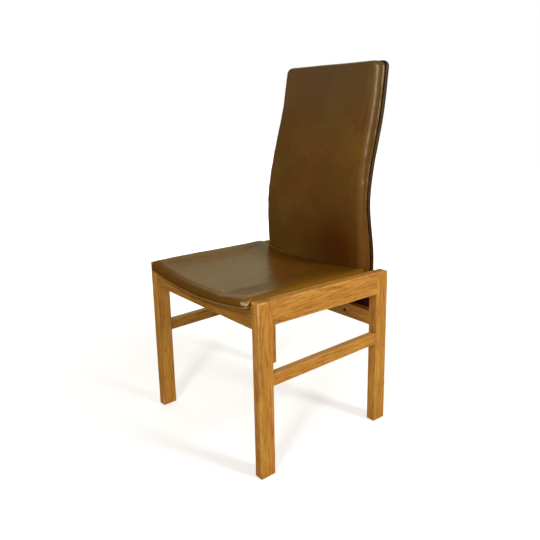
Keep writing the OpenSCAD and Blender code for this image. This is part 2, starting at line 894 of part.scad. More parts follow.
module back_front_cover() {
    outer = pad_section(back_pad_t, back_seam, back_crown, back_insets, outer_steps);
    inner = pad_section(back_pad_t, back_seam, back_crown, back_insets, inner_steps, leather_t);
    color(olive) placed() ring_solid([for (s = cover_section(outer, inner)) back_ring(s)]);
}

module back_foam() {
    top = pad_section(back_pad_t, back_seam, back_crown, back_insets, inner_steps, foam_in);
    section = concat([[0, foam_base, 0, 0], [foam_in, foam_base, 0, 0]], top);
    color(foam_tan) placed() ring_solid(backwards([for (s = section) back_ring(s)]));
}

module back_bolts() {
    color(steel) placed() at_back_bolts() bolt(back_rail_y + head_sink, back_nut_y - over);
}

module back_tee_nuts() {
    color(steel) placed() at_back_bolts() tee_nut(back_nut_y);
}

front_leg("left");  // front_leg_left
front_leg("right");  // front_leg_right
rear_leg("left");  // rear_leg_left
rear_leg("right");  // rear_leg_right
side_rail("left");  // side_rail_left
side_rail("right");  // side_rail_right
side_stretcher("left");  // side_stretcher_left
side_stretcher("right");  // side_stretcher_right
front_rail();
seat_bearer();
rear_rail();
dowels();
corner_block("left", corners[0]);  // corner_block_front_left
corner_block("right", corners[0]);  // corner_block_front_right
corner_block("left", corners[1]);  // corner_block_rear_left
corner_block("right", corners[1]);  // corner_block_rear_right
seat_shell();
seat_edge_band();
seat_dust_cover();
seat_foam();
seat_cover();
seat_welt();
seat_bolts();
seat_tee_nuts();
back_shell();
back_shell_cover();
back_foam();
back_front_cover();
back_bolts();
back_tee_nuts();
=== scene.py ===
"""Looks of the high-back dining chair: oiled oak, semi-gloss leather, plywood and steel.

Metres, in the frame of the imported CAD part. X is across the chair, Y runs to the back, Z is up.
"""

import math

import bmesh
import bpy
import numpy as np
from mathutils import Matrix, Vector, noise
from mathutils.bvhtree import BVHTree


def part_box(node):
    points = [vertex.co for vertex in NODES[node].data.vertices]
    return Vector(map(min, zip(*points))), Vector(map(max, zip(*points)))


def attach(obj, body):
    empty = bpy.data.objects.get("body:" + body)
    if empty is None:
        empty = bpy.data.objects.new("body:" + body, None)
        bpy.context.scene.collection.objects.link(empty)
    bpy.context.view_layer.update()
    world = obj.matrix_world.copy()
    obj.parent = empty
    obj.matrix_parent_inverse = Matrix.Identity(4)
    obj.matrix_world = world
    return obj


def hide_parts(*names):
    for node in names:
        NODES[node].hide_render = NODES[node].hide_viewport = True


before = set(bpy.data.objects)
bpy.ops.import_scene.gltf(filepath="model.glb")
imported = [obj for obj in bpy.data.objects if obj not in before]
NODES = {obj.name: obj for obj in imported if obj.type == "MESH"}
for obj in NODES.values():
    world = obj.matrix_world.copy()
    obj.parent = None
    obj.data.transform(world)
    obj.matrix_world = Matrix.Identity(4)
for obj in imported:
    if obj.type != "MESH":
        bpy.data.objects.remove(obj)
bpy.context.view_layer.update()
MM = 0.001

# Sizes and lines that the pieces share with the CAD part, in its source's millimetres
MID_Y = 256.698  # the source's y at the frame's origin
FRONT_H, REAR_H, FRAME_D = 450.0, 436.5, 455.0  # heights of the legs, and the run between
SLOPE = (FRONT_H - REAR_H) / FRAME_D
TILT = math.atan(SLOPE)
SEAT_Z = 397.0  # the lowest line of the seat's dish at y 0
DISH_R = 1110.0
SEAT_SHELL_T, SEAT_PAD_GAP = 15.5, 0.15
BACK_FOOT, BACK_TOP = 278.5, 984.5
BACK_LINE = [(450, 447.0), (600, 437.0), (700, 454.5), (849, 496.1), (981, 517.72)]  # (z, y)
WIDTH_LINE = [(450, 194.0), (700, 181.0), (981, 174.0)]  # (z, half the width)
SHELL_IN = 2.5  # how far the back shell lies inside the width line
SHELL_CORNER_R, SHELL_FOOT_R, SHELL_LEAST_R = 20.0, 6.0, 4.0

# The leather sleeve over the back shell, in millimetres
SLEEVE_FRONT, SLEEVE_REAR = -0.15, -12.15
SLEEVE_ARRIS = 2.6
SLEEVE_SEAM = [(0, 1.2), (-0.35, 0.6), (0.35, 0), (-0.35, -0.6), (0, -1.2)]  # (inset, out)
ARRIS_STEPS, BEND_STEPS, SIDE_STEPS, END_STEPS = 4, 8, 44, 4

# The two pads: the size of their skin's quads and the reach of its fit, in metres
PAD_VOXEL = 0.0045
PAD_REACH = 0.006
FIT_ROUNDS, FIT_RELAX = 3, 2  # fits onto the CAD, and evenings-out before each

# The cloth that blows the pads up
HOLD_FADE = 4.0  # mm over which the hold on the seam fades out
PUFF_FRAMES = 20
PUFF_SLIDE = 0.3  # share of the cloth's movement along the skin that is kept
PUFF_RELAX = 0.4  # share of the last evening-out
CLOTH = {
    "quality": 5,
    "mass": 0.5,
    "tension_stiffness": 30,
    "compression_stiffness": 30,
    "shear_stiffness": 20,
    "bending_stiffness": 2,
    "use_pressure": True,
    "uniform_pressure_force": 4.0,
    "vertex_group_mass": "held",
}

# The unevenness of the seat's pad, in metres where no unit is given
SEAT_WAVES = [(14.0, 0.0004), (45.0, 0.00012)]  # (noise scale, height)
SEAT_TOP = (6.0, 26.0)  # mm over the base between which the swells below come in
REAR_SWELL = [
    (-0.19, 0.0032), (-0.13, 0.0036), (-0.068, 0.0020), (0.0, 0.0030),
    (0.072, 0.0045), (0.12, 0.0025), (0.16, 0.0), (0.19, -0.0015),
]  # (x, lift)
REAR_SWELL_Y = (0.0, 0.12)
LEFT_SWELL = 0.0026
LEFT_SWELL_X, LEFT_SWELL_Y = (0.13, 0.195), (-0.27, -0.16)
RIGHT_SAG = [
    (45, 0.0), (88, -1.9), (108, -2.8), (142, -0.9), (184, -0.5), (200, -2.6), (216, -3.8),
]  # (x, lift) in millimetres
SAG_FRONT_Y, SAG_REAR_Y = (-0.282, -0.260), (0.12, 0.05)

# The unevenness of the back's pad: waves in metres, and the ridge beside its seam in millimetres
BACK_WAVE = (11.0, 0.0006)  # (noise scale, height)
SIDE_RIPPLE, RIPPLE_X, RIPPLE_Z = 0.0008, 20, 38  # height, and noise scales along x and z
RIPPLE_FROM, RIPPLE_FADE = 0.13, 0.04  # how far out the ripples start, and their fade
RIDGE, RIDGE_AT, RIDGE_WIDTH = 1.8, 7.5, 3.0
FURROW, FURROW_AT, FURROW_WIDTH = 1.6, 15.0, 4.5
RIDGE_CHANGE, RIDGE_NOISE = 0.35, 24  # share of its height, and noise scale along z
BACK_RELAX = 2

# The camera that took the photograph, solved from the frame's straight edges
CAMERA_AT = (1.19271, -1.033878, 0.9016)
CAMERA_YAW, CAMERA_PITCH, CAMERA_ROLL = 54.264, -13.329, -2.245
CAMERA_LENS, CAMERA_SENSOR, CAMERA_SHIFT = 38.63, 36.0, (0.0907, -0.0632)

# The studio's light: its brightest direction, and its levels round that and overhead
LIGHT_FROM = (-0.80, 0.60, 0.10)
LIGHT_STRENGTH = 0.9
LIGHT_TINT = (1.0, 0.95, 0.86, 1)
LIGHT_RANGE, LIGHT_LEAST = (0.30, 0.80), 0.14
CEILING_RANGE, CEILING_SHARE = (0.35, 0.95), 0.55

# The studio's wall as reflections see it, with a dark skirting, in the same terms
WALL_FROM = (-0.85, 0.50, 0.17)
WALL_COLOUR = (0.94, 0.96, 0.66, 1)
WALL_RANGE, WALL_SHARE = (0.83, 0.945), 0.71
WALL_LEAST = 0.10
SKIRTING_RANGE, SKIRTING_LEAST = (0.09, 0.20), 0.08

# The floor: its half size, its greys and its glow for the camera by the distance in metres
WHITE = (1, 1, 1, 1)
FLOOR_HALF = 6.0
FLOOR_GREYS = ((0.86, 0.86, 0.86, 1), (0.90, 0.90, 0.90, 1))
FLOOR_NOISE = 3.0
GLOW_RANGE, GLOW_LEAST = (0.4, 2.0), 0.47


def add(tree, kind, inputs=None, **props):
    """A shader node of a kind, its inputs linked to sockets or set to values."""
    node = tree.nodes.new("ShaderNode" + kind)
    for key, value in props.items():
        setattr(node, key, value)
    for key, value in (inputs or {}).items():
        feed(tree, node.inputs[key], value)
    return node


def feed(tree, socket, value):
    """Links an input to a socket, or sets it to a value."""
    if isinstance(value, bpy.types.NodeSocket):
        tree.links.new(value, socket)
    else:
        socket.default_value = value


def calc(tree, operation, *values, clamp=False):
    """The result of a maths operation on numbers."""
    node = add(tree, "Math", dict(enumerate(values)), operation=operation, use_clamp=clamp)
    return node.outputs[0]


def vector_calc(tree, operation, *values):
    """The vector that an operation on vectors gives."""
    return add(tree, "VectorMath", dict(enumerate(values)), operation=operation).outputs[0]


def vector_value(tree, operation, *values):
    """The number that an operation on vectors gives, such as a length or a dot product."""
    return add(tree, "VectorMath", dict(enumerate(values)), operation=operation).outputs["Value"]


def split(tree, vector):
    """The three parts of a vector."""
    return add(tree, "SeparateXYZ", {0: vector}).outputs


def combine(tree, x, y, z):
    """A vector from its three parts."""
    return add(tree, "CombineXYZ", {0: x, 1: y, 2: z}).outputs[0]


def remap(tree, value, low, high, to_low=0.0, to_high=1.0):
    """A smooth step from to_low at low to to_high at high; low may be the larger one."""
    inputs = {
        "Value": value, "From Min": low, "From Max": high, "To Min": to_low, "To Max": to_high,
    }
    node = add(tree, "MapRange", inputs, interpolation_type="SMOOTHSTEP", clamp=True)
    return node.outputs["Result"]


def mix(tree, factor, a, b, blend="MIX"):
    """Colour b over colour a by a factor."""
    node = add(tree, "Mix", data_type="RGBA", blend_type=blend)
    for key, value in (("Factor_Float", factor), ("A_Color", a), ("B_Color", b)):
        feed(tree, next(s for s in node.inputs if s.identifier == key), value)
    return next(s for s in node.outputs if s.identifier == "Result_Color")


def rgb(red, green, blue):
    """Scene colour of an sRGB value from 0 to 255."""
    def linear(v):
        v /= 255
        return v / 12.92 if v <= 0.04045 else ((v + 0.055) / 1.055) ** 2.4
    return linear(red), linear(green), linear(blue), 1.0


def shade(colour, factor):
    """A lighter or darker form of a colour."""
    return tuple(min(v * factor, 1) for v in colour[:3]) + (1,)


def noise_at(tree, vector, scale, detail=3.0, rough=0.5, distortion=0.0):
    """Smooth noise, with its middle at 0.5; scale is in lumps per metre."""
    inputs = {
        "Vector": vector, "Scale": scale, "Detail": detail,
        "Roughness": rough, "Distortion": distortion,
    }
    return add(tree, "TexNoise", inputs).outputs["Fac"]


def centred(tree, noise_value):
    """Noise moved to have its middle at 0."""
    return calc(tree, "SUBTRACT", noise_value, 0.5)


def drawn_noise(tree, vector, scales, detail, rough=0.5, distortion=0.0):
    """Noise with a scale of its own along each axis."""
    drawn = add(tree, "Mapping", {"Vector": vector, "Scale": scales}).outputs["Vector"]
    return noise_at(tree, drawn, 1.0, detail, rough, distortion)


def grain_noise(tree, local, across, along, detail, rough=0.5, distortion=0.0):
    """Noise drawn out along a board's grain, the third axis of local."""
    return drawn_noise(tree, local, (across, across, along), detail, rough, distortion)


def cells(tree, place, scale, rim):
    """Rounded cells: 0 on the borders between them, 1 from a rim's width inwards."""
    inputs = {"Vector": place, "Scale": scale}
    node = add(tree, "TexVoronoi", inputs, feature="DISTANCE_TO_EDGE")
    return remap(tree, node.outputs["Distance"], 0.0, rim)


def gaussian(tree, place, centre, radii):
    """A soft round spot, 1 at its centre, from an ellipsoid's centre and radii in metres."""
    shifted = vector_calc(tree, "SUBTRACT", place, centre)
    scaled = vector_calc(tree, "DIVIDE", shifted, radii)
    square = vector_value(tree, "DOT_PRODUCT", scaled, scaled)
    return calc(tree, "EXPONENT", calc(tree, "MULTIPLY", square, -1.0))


def bump(tree, height, distance, strength):
    """The normal of a surface with a height map; distance is in metres."""
    inputs = {"Height": height, "Distance": distance, "Strength": strength}
    return add(tree, "Bump", inputs).outputs["Normal"]


def true_normal(tree):
    """The direction that the bare mesh faces."""
    return add(tree, "NewGeometry").outputs["True Normal"]


def new_material(name):
    """A material, its tree, its main shader and the place on the object in metres."""
    material = bpy.data.materials.new(name)
    material.use_nodes = True
    tree = material.node_tree
    tree.nodes.clear()
    output = add(tree, "OutputMaterial")
    shader = add(tree, "BsdfPrincipled")
    tree.links.new(shader.outputs[0], output.inputs["Surface"])
    place = add(tree, "TexCoord").outputs["Object"]
    return material, tree, shader, place


def join(tree, shader, **values):
    """Links or sets inputs of the main shader, with _ for a space in their names."""
    for key, value in values.items():
        feed(tree, shader.inputs[key.replace("_", " ")], value)


# Wood: sizes in metres
ARRIS_WIDTH = 0.0046
RING_WIDTH = 0.0034
RING_BEND = 0.030
PITH_DISTANCE = 0.055
PITH_ANGLE, PITH_TURN = 0.9, 1.7  # its direction at seed 0, and its turn per seed
BOARD_START, BOARD_STEP = (0.31, -0.17, 0.0), (0.137, 0.071, 0.53)  # the noises' place, likewise
GRAIN_DEPTH, GRAIN_BUMP = 0.00025, 0.5
RAIL_DEPTH, RAIL_FADE = 0.070, 0.008  # how far down a side rail covers a leg's arrises
RAIL_SIDE = (0.3, 0.7)  # way across a leg from the rail's side, over which its wear comes in
LEG_TOP = 0.01  # how far down a leg its wear is full

# Noises of the wood: their scales across and along the grain, and their form
BENDS = {"across": 9, "along": 1.6, "detail": 2.0}
STREAKS = {"across": 70, "along": 5.5, "detail": 3.0, "rough": 0.6, "distortion": 0.5}
FLAMES = {"across": 165, "along": 17, "detail": 3.0, "rough": 0.62, "distortion": 1.3}
CLOUDS = {"across": 14, "along": 3, "detail": 2.0}
FIBRES = {"across": 900, "along": 26, "detail": 2.0, "rough": 0.6}
PORES = {"across": 1500, "along": 60, "detail": 1.0}
RUB_SCALE = 60.0

# The range of a value over which each of these goes from none to full
LATE_WOOD, EARLY_WOOD = (0.55, 1.0), (0.6, 0.1)  # way through a growth ring
OPEN_PORE = (0.60, 0.70)
RUB_PATCH = (0.36, 0.64)
END_GRAIN, TOP_FACE = (0.6, 0.95), (0.3, 0.9)  # how far a face looks along an axis

# How much each of these adds to the tone, and where the tones lie from dark to light
TONE_BASE = 0.24
LATE_TONE, STREAK_TONE, FLAME_TONE, CLOUD_TONE, FIBRE_TONE = -0.16, 0.7, 1.15, 0.5, 0.45
TONE_DARK, TONE_MIDDLE, TONE_LIGHT = 0.12, 0.5, 0.88

# Pores, end grain and rubbed arrises, whose lighter colour is partly a painted highlight: their
# shades or colour, and how much of it shows
PORE_DARK, PORE_SHARE = 0.35, 0.55
END_DARK, END_SHARE, BEECH_END_SHARE = 0.45, 0.22, 0.2
RUBBED_AND_HIGHLIT = rgb(226, 178, 112)
RUB_LEAST, RUB_AND_HIGHLIGHT_SHARE = 0.18, 0.75
LEG_RUB_AND_HIGHLIGHT = (0.5, 3.0)  # below the side rail, and at the leg's top

# The wood's roughness with what rubbing and pores add to it, and its height map
WOOD_ROUGH, RUB_ROUGH, PORE_ROUGH = 0.50, -0.10, 0.2
FIBRE_HEIGHT, PORE_HEIGHT = 0.35, -0.8
WOOD_SPECULAR = 0.20


def arris_mask(tree, place, low, high, slope):
    """1 on the arrises of a box and 0 inside its faces; slope shears the box along Y."""
    parts = split(tree, place)
    middle = [(a + b) / 2 for a, b in zip(low, high)]
    half = [(b - a) / 2 for a, b in zip(low, high)]
    run = calc(tree, "SUBTRACT", parts[1], middle[1])
    level = calc(tree, "MULTIPLY_ADD", run, slope, parts[2])
    gaps = []
    for value, m, h in zip((parts[0], parts[1], level), middle, half):
        away = calc(tree, "ABSOLUTE", calc(tree, "SUBTRACT", value, m))
        gaps.append(calc(tree, "SUBTRACT", h, away))
    a, b, c = gaps
    least = calc(tree, "MINIMUM", a, b)
    second = calc(tree, "MAXIMUM", least, calc(tree, "MINIMUM", calc(tree, "MAXIMUM", a, b), c))
    return remap(tree, second, ARRIS_WIDTH, 0.0)


def growth_rings(tree, turned, local, pith):
    """The way through each growth ring, 0 to 1, round a pith and bent by slow noise."""
    bend = grain_noise(tree, local, **BENDS)
    aside = calc(tree, "MULTIPLY_ADD", bend, RING_BEND, -RING_BEND / 2)
    bent = vector_calc(tree, "ADD", turned, combine(tree, aside, aside, 0.0))
    off = vector_calc(tree, "SUBTRACT", bent, pith)
    flat = vector_calc(tree, "MULTIPLY", off, (1, 1, 0))
    radius = vector_value(tree, "LENGTH", flat)
    return calc(tree, "FRACT", calc(tree, "DIVIDE", radius, RING_WIDTH))


def wood_tone(tree, local, ring, fibre):
    """The tone of the wood, 0 dark to 1 light, from late wood, streaks, flames and clouds."""
    flame = grain_noise(tree, local, **FLAMES)
    cloud = grain_noise(tree, local, **CLOUDS)
    streak = grain_noise(tree, local, **STREAKS)
    tone = calc(tree, "MULTIPLY_ADD", streak, STREAK_TONE, TONE_BASE)
    tone = calc(tree, "MULTIPLY_ADD", remap(tree, ring, *LATE_WOOD), LATE_TONE, tone)
    tone = calc(tree, "MULTIPLY_ADD", centred(tree, flame), FLAME_TONE, tone)
    tone = calc(tree, "MULTIPLY_ADD", centred(tree, cloud), CLOUD_TONE, tone)
    return calc(tree, "MULTIPLY_ADD", centred(tree, fibre), FIBRE_TONE, tone, clamp=True)


def tone_colour(tree, tone, tones):
    """The colour of a tone between the dark, middle and light colours of a wood."""
    dark, middle, light = tones
    node = add(tree, "ValToRGB", {0: tone})
    stops = node.color_ramp.elements
    stops[0].position, stops[0].color = TONE_DARK, dark
    stops[1].position, stops[1].color = TONE_LIGHT, light
    stops.new(TONE_MIDDLE).color = middle
    return node.outputs[0]


def leg_patches(tree, patchy, parts, low, high):
    """Rubbed patches on a leg's arrises, their lighter colour partly a painted highlight: more near
    its top, and none where the side rail meets it.
    """
    more = remap(tree, parts[2], high.z - RAIL_DEPTH, high.z - LEG_TOP, *LEG_RUB_AND_HIGHLIGHT)
    patchy = calc(tree, "MULTIPLY", patchy, more)
    below = remap(tree, parts[2], high.z - RAIL_DEPTH, high.z - RAIL_DEPTH - RAIL_FADE)
    near, far = (high.y, low.y) if low.y < 0 else (low.y, high.y)
    start, end = (near * (1 - way) + far * way for way in RAIL_SIDE)
    beside = remap(tree, parts[1], start, end)
    return calc(tree, "MULTIPLY", patchy, calc(tree, "MAXIMUM", below, beside))


def wood(name, node, grain, tones, seed, rub_and_highlight, slope=0.0, ends=END_SHARE, painted_top_light=0.0):
    """Solid wood whose rings and pores run along one axis of the frame, offset per board.

    tones holds the dark, middle and light colours; the wear share says how far the arrises are
    rubbed, their lighter colour partly a painted highlight;
    ends is how much darker the end grain is; the top share is how much painted light a top face
    gets.
    """
    low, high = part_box(node)
    drop = abs(slope) * (high.y - low.y) / 2
    low.z, high.z = low.z + drop, high.z - drop
    material, tree, shader, place = new_material(name)
    parts = split(tree, place)
    a, b = (axis for axis in range(3) if axis != grain)
    turned = combine(tree, parts[a], parts[b], parts[grain])
    shift = tuple(step * seed + start for step, start in zip(BOARD_STEP, BOARD_START))
    local = vector_calc(tree, "ADD", turned, shift)

    # The pith lies off the board, and open pores lie in the early wood
    angle = PITH_ANGLE + PITH_TURN * seed
    pith = (
        (low[a] + high[a]) / 2 + PITH_DISTANCE * math.cos(angle),
        (low[b] + high[b]) / 2 + PITH_DISTANCE * math.sin(angle),
        0.0,
    )
    ring = growth_rings(tree, turned, local, pith)
    fibre = grain_noise(tree, local, **FIBRES)
    pores = remap(tree, grain_noise(tree, local, **PORES), *OPEN_PORE)
    pores = calc(tree, "MULTIPLY", pores, remap(tree, ring, *EARLY_WOOD))
    colour = tone_colour(tree, wood_tone(tree, local, ring, fibre), tones)
    share = calc(tree, "MULTIPLY", pores, PORE_SHARE)
    colour = mix(tree, share, colour, shade(tones[0], PORE_DARK))

    # End grain is darker
    axis = [0.0, 0.0, 0.0]
    axis[grain] = 1.0
    normal = true_normal(tree)
    facing = vector_value(tree, "DOT_PRODUCT", normal, axis)
    end = remap(tree, calc(tree, "ABSOLUTE", facing), *END_GRAIN)
    share = calc(tree, "MULTIPLY", end, ends)
    colour = mix(tree, share, colour, shade(tones[0], END_DARK))

    # Arrises are rubbed lighter and smoother, in patches; the lighter colour is partly a painted
    # highlight
    rubbed_and_highlit = calc(tree, "MULTIPLY", arris_mask(tree, place, low, high, slope), rub_and_highlight)
    lumps = noise_at(tree, place, RUB_SCALE, detail=2.0)
    patchy = remap(tree, lumps, *RUB_PATCH, to_low=RUB_LEAST)
    if grain == 2:
        patchy = leg_patches(tree, patchy, parts, low, high)
    rubbed_and_highlit = calc(tree, "MULTIPLY", rubbed_and_highlit, patchy, clamp=True)
    # Painted light: a top face is made lighter with the rubbed colour
    if painted_top_light:
        upward = remap(tree, split(tree, normal)[2], *TOP_FACE)
        rubbed_and_highlit = calc(tree, "MAXIMUM", rubbed_and_highlit, calc(tree, "MULTIPLY", upward, painted_top_light))
    colour = mix(tree, calc(tree, "MULTIPLY", rubbed_and_highlit, RUB_AND_HIGHLIGHT_SHARE), colour, RUBBED_AND_HIGHLIT)

    height = calc(tree, "MULTIPLY", fibre, FIBRE_HEIGHT)
    height = calc(tree, "MULTIPLY_ADD", pores, PORE_HEIGHT, height)
    roughness = calc(tree, "MULTIPLY_ADD", rubbed_and_highlit, RUB_ROUGH, WOOD_ROUGH)
    roughness = calc(tree, "MULTIPLY_ADD", pores, PORE_ROUGH, roughness)
    join(
        tree, shader, Base_Color=colour, Roughness=roughness,
        Normal=bump(tree, height, GRAIN_DEPTH, GRAIN_BUMP), Specular_IOR_Level=WOOD_SPECULAR,
    )
    return material


# Leather: colours, noise scales, and how each noise changes the colour, roughness and height
OLIVE = rgb(114, 76, 13)
OLIVE_DARK = rgb(62, 40, 14)
BROWN = rgb(115, 81, 29)
STRIP_BROWN = rgb(146, 98, 24)
# Painted highlight: the welt's colour is lightened all over to stand for its shine
WELT_PAINTED_HIGHLIGHT = rgb(146, 112, 58)
WORN = rgb(224, 200, 148)
DRIFT_SCALE, HUE_SCALE, MOTTLE_SCALE, RAGGED_SCALE = 9.0, 13.0, 160.0, 300.0
DRIFT_RANGE, DRIFT_SHADES = (0.3, 0.7), (0.84, 1.16)
RUDDY = (1.02, 0.78, 0.9)
RUDDY_RANGE, RUDDY_SHARE = (0.44, 0.66), 0.75
SPOT_RANGE, SPOT_SHARES = (0.2, 0.8), (0.8, 1.2)
MOTTLE_RANGE, MOTTLE_SHADES, MOTTLE_ROUGH = (0.35, 0.65), (0.93, 1.05), 0.04
RAGGED_RANGE, RAGGED_SHARES = (0.36, 0.60), (0.15, 1.3)
WORN_RANGE, WORN_ROUGH = (0.30, 0.70), 0.35
PEBBLE_SCALE, PEBBLE_RIM, PEBBLE_DEPTH, PEBBLE_BUMP = 620.0, 0.35, 0.00012, 0.15
CREASE_SCALE, CREASE_RIM, CREASE_HEIGHT = 120.0, 0.10, 0.08
LEATHER_SPECULAR, LEATHER_TINT = 0.42, (1.0, 0.86, 0.66, 1)

# The dust cover's cloth
BLACK = (0.035, 0.033, 0.03, 1)
CLOTH_SHADES = (0.5, 1.9)
WEAVE_PITCH, WEAVE_DEPTH, WEAVE_BUMP, WEAVE_TONE = 0.0012, 0.0002, 0.7, 0.25
FLUFF_SCALE, CLOTH_ROUGH, FLUFF_ROUGH, CLOTH_SHEEN = 900.0, 0.75, 0.2, 0.15

# Zinc-plated steel
ZINC = (0.62, 0.62, 0.60, 1)
ZINC_ROUGH, DULL_SCALE, DULL_SHADE, DULL_ROUGH = 0.28, 260.0, 0.75, 0.25
SCRATCH_SCALES, SCRATCH_DEPTH, SCRATCH_BUMP = (2500, 2500, 120), 0.00005, 0.5

# Moulded plywood
PLY_BEECH = rgb(206, 172, 128)
PLY_SHADES, PLY_ROUGH = (0.62, 1.15), 0.5
FLECK_SCALES, FLECK_TONE, FLECK_ROUGH = (1200, 90, 90), 0.5, 0.15
FLECK_DEPTH, FLECK_BUMP = 0.0001, 0.4
PLY_CLOUD_SCALES, PLY_CLOUD_TONE = (8, 30, 30), 0.5
LAYER_PITCH, LAYER_TONE, LAYER_EDGE = 0.003, 0.35, (0.6, 0.2)

# Soft areas of another colour, each (colour, centre, radii, share), most of them painted light and
# shade as marked; worn places have no colour
SEAT_SPOTS_AND_PAINTED_LIGHT = [
    (rgb(134, 90, 14), (0.20, -0.05, 0.43), (0.06, 0.30, 0.20), 0.8),
    # Painted reflection: a lighter, greyer sheen in the middle and on the left
    (rgb(112, 74, 26), (-0.06, -0.12, 0.41), (0.16, 0.16, 0.2), 0.5),
    # Painted shade: darker and redder by the crease under the back
    (rgb(98, 52, 14), (0.03, 0.12, 0.43), (0.17, 0.06, 0.1), 0.8),
    # Painted highlight: a light line along the crease
    (rgb(196, 150, 100), (-0.13, 0.131, 0.44), (0.08, 0.005, 0.03), 0.9),
    # Painted shade: darker along the front roll
    (rgb(96, 64, 20), (-0.06, -0.285, 0.40), (0.30, 0.026, 0.05), 0.75),
]
SEAT_WORN = [((0.208, -0.266, 0.4445), (0.012, 0.011, 0.0060), 0.85)]
BACK_PAINTED_LIGHT_AND_SHADE = [
    # Painted shade: darker and redder low in the middle
    (rgb(88, 43, 12), (0.11, 0.16, 0.48), (0.12, 0.2, 0.11), 0.85),
    # Painted light: lighter on the lower right roll, which faces the lamp
    (rgb(116, 74, 16), (0.192, 0.17, 0.52), (0.026, 0.2, 0.2), 0.5),
    # Painted reflection: a greyer sheen along the top
    (rgb(106, 80, 52), (0.0, 0.22, 0.96), (0.3, 0.2, 0.12), 0.75),
    # Painted shade: darker on the upper right side
    (rgb(74, 52, 20), (0.190, 0.24, 0.84), (0.020, 0.2, 0.26), 0.9),
]


def leather(name, base, roughness, spots_and_painted_light=(), worn=(), grain=1.0):
    """Semi-gloss leather with pebble grain, drifting colour, soft spots that are mostly painted
    light and shade, and rubbed places.

    grain scales the height of the pebbles; the spots, mostly painted light and shade, and the worn
    places are lists like the seat's.
    """
    material, tree, shader, place = new_material(name)
    drift = noise_at(tree, place, DRIFT_SCALE, detail=4.0, rough=0.6)
    hue = noise_at(tree, place, HUE_SCALE)
    fine = noise_at(tree, place, MOTTLE_SCALE, rough=0.6)
    dark, light = (shade(base, factor) for factor in DRIFT_SHADES)
    ruddy = tuple(v * factor for v, factor in zip(base, RUDDY)) + (1,)
    colour = mix(tree, remap(tree, drift, *DRIFT_RANGE), dark, light)
    colour = mix(tree, remap(tree, hue, *RUDDY_RANGE, to_high=RUDDY_SHARE), colour, ruddy)
    # Soft spots of another colour, most of them painted light and shade
    for tint, centre, radii, share in spots_and_painted_light:
        painted_light_and_wear = calc(tree, "MULTIPLY", gaussian(tree, place, centre, radii), share)
        uneven = remap(tree, drift, *SPOT_RANGE, *SPOT_SHARES)
        painted_light_and_wear = calc(tree, "MINIMUM", calc(tree, "MULTIPLY", painted_light_and_wear, uneven), 1.0)
        colour = mix(tree, painted_light_and_wear, colour, tint)
    mottle = remap(tree, fine, *MOTTLE_RANGE, *MOTTLE_SHADES)
    colour = mix(tree, 1.0, colour, combine(tree, mottle, mottle, mottle), "MULTIPLY")
    roughness = calc(tree, "MULTIPLY_ADD", centred(tree, fine), MOTTLE_ROUGH, roughness)
    for centre, radii, share in worn:
        lumps = noise_at(tree, place, RAGGED_SCALE, rough=0.7)
        ragged = remap(tree, lumps, *RAGGED_RANGE, *RAGGED_SHARES)
        painted_light_and_wear = calc(tree, "MULTIPLY", gaussian(tree, place, centre, radii), ragged)
        painted_light_and_wear = calc(tree, "MULTIPLY", remap(tree, painted_light_and_wear, *WORN_RANGE), share)
        colour = mix(tree, painted_light_and_wear, colour, WORN)
        roughness = calc(tree, "MULTIPLY_ADD", painted_light_and_wear, WORN_ROUGH, roughness)
    pebble = cells(tree, place, PEBBLE_SCALE, PEBBLE_RIM)
    crease = cells(tree, place, CREASE_SCALE, CREASE_RIM)
    height = calc(tree, "MULTIPLY_ADD", crease, CREASE_HEIGHT, pebble)
    join(
        tree, shader, Base_Color=colour, Roughness=roughness,
        Normal=bump(tree, height, PEBBLE_DEPTH, PEBBLE_BUMP * grain),
        Specular_IOR_Level=LEATHER_SPECULAR, Specular_Tint=LEATHER_TINT,
    )
    return material


def woven(name, base):
    """Plain-woven cloth."""
    material, tree, shader, place = new_material(name)
    parts = split(tree, place)
    turn = 2 * math.pi / WEAVE_PITCH
    warp = calc(tree, "SINE", calc(tree, "MULTIPLY", parts[0], turn))
    weft = calc(tree, "SINE", calc(tree, "MULTIPLY", parts[1], turn))
    height = calc(tree, "MULTIPLY", warp, weft)
    fluff = noise_at(tree, place, FLUFF_SCALE)
    tone = calc(tree, "MULTIPLY_ADD", height, WEAVE_TONE, fluff)
    colour = mix(tree, tone, *(shade(base, factor) for factor in CLOTH_SHADES))
    roughness = calc(tree, "MULTIPLY_ADD", fluff, FLUFF_ROUGH, CLOTH_ROUGH)
    normal = bump(tree, height, WEAVE_DEPTH, WEAVE_BUMP)
    join(
        tree, shader, Base_Color=colour, Roughness=roughness, Normal=normal,
        Sheen_Weight=CLOTH_SHEEN,
    )
    return material


def metal(name, base):
    """Zinc-plated steel with fine scratches and dull spots."""
    material, tree, shader, place = new_material(name)
    scratch = drawn_noise(tree, place, SCRATCH_SCALES, detail=2.0)
    dull = noise_at(tree, place, DULL_SCALE)
    colour = mix(tree, dull, shade(base, DULL_SHADE), base)
    roughness = calc(tree, "MULTIPLY_ADD", dull, DULL_ROUGH, ZINC_ROUGH)
    normal = bump(tree, scratch, SCRATCH_DEPTH, SCRATCH_BUMP)
    join(tree, shader, Base_Color=colour, Roughness=roughness, Normal=normal, Metallic=1.0)
    return material


